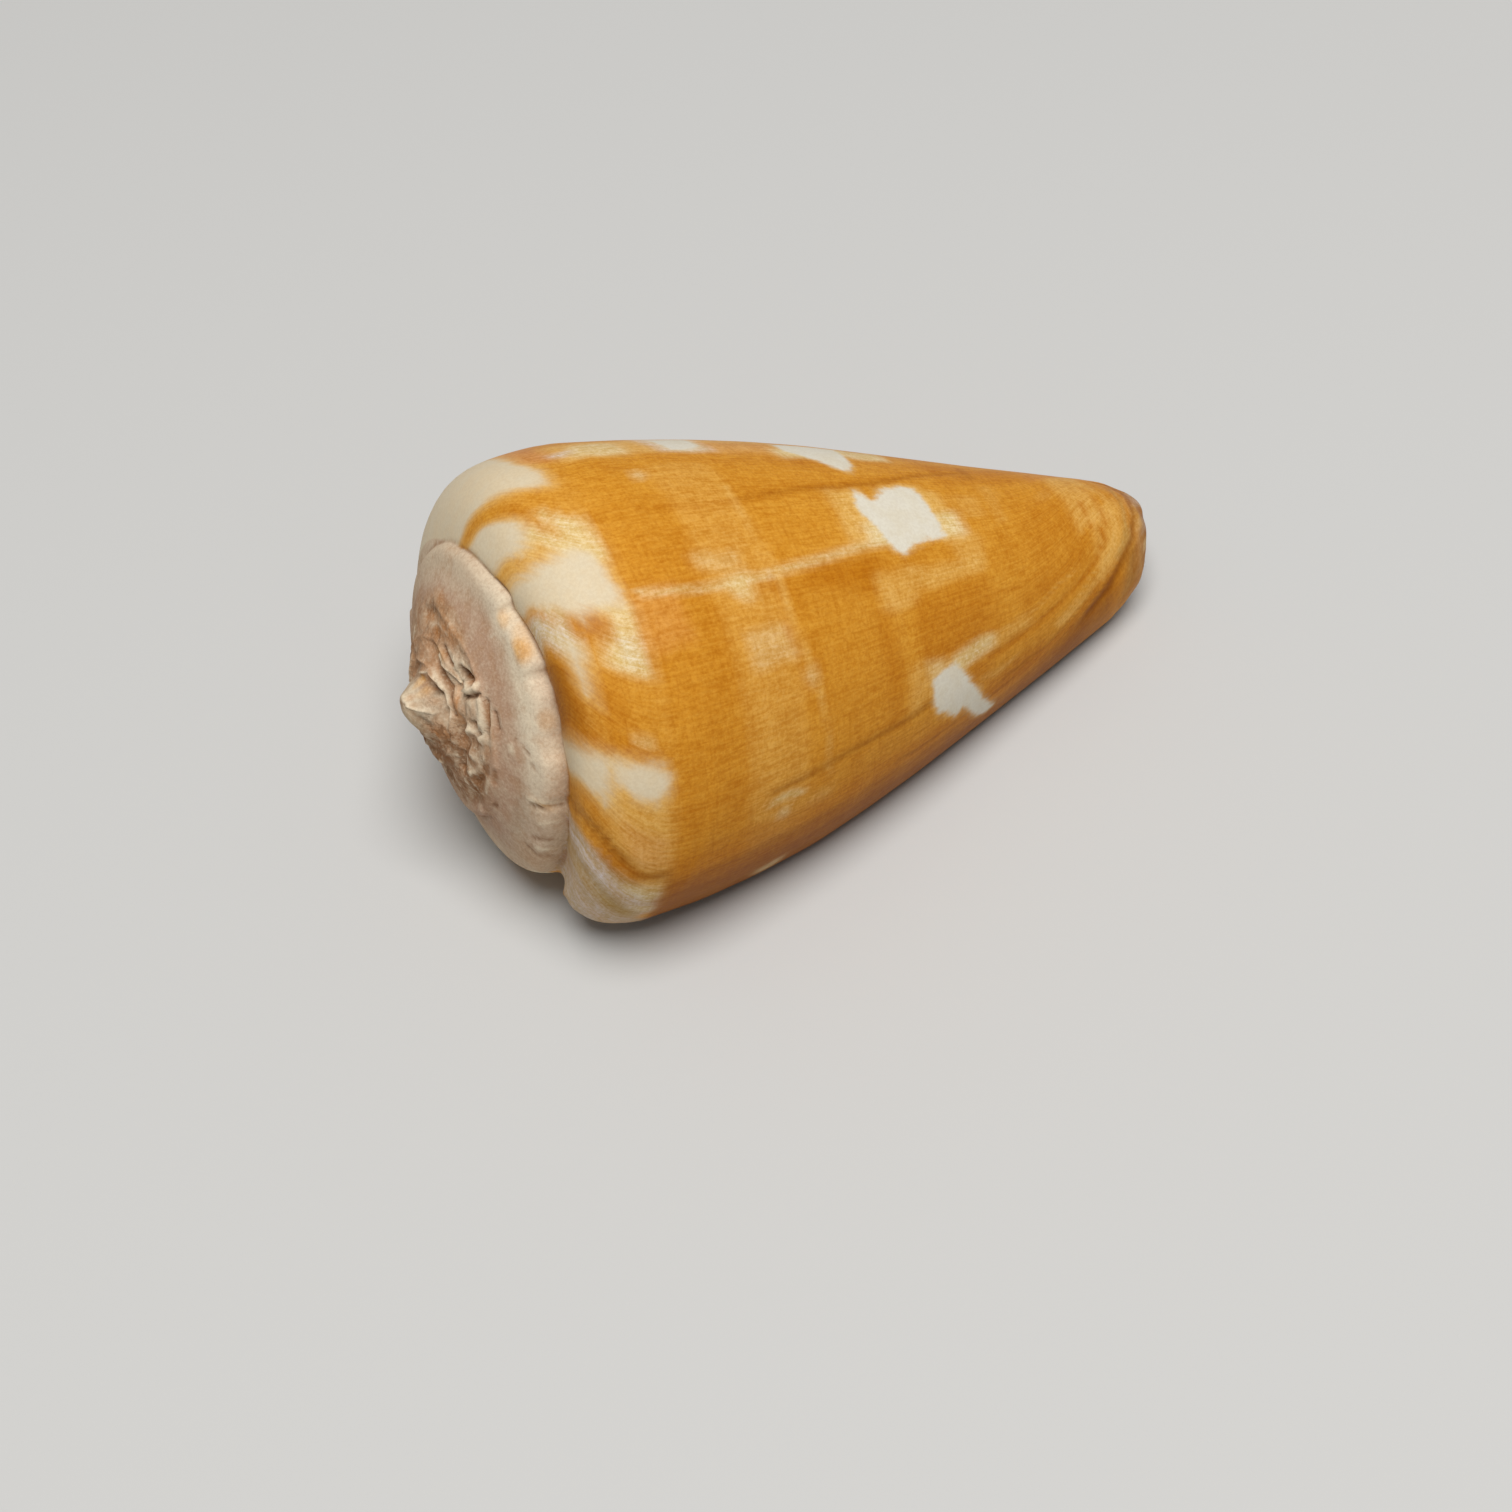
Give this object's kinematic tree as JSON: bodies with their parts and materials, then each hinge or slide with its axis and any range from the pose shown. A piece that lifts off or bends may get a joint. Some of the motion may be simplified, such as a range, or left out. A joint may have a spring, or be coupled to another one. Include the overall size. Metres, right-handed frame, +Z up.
{
  "type": "cone shell",
  "caption": "Worn orange cone-shaped seashell with white blotches, a low eroded spire and a long narrow mouth, lying on its mouth side.",
  "frame": {"origin": "on the surface that the shell lies on, under the middle of its bounding box", "axes": "+X from the apex to the front end, +Z up from the surface it lies on; the mouth faces down and towards -Y"},
  "size_m": [0.0442, 0.0244, 0.0221],
  "materials": {
    "shell": "satin worn shell, orange with spiral bands, fine growth lines and white blotches, cream and brown on the worn spire"
  },
  "bodies": {
    "root": {"shell": "shell"}
  },
  "joints": []
}
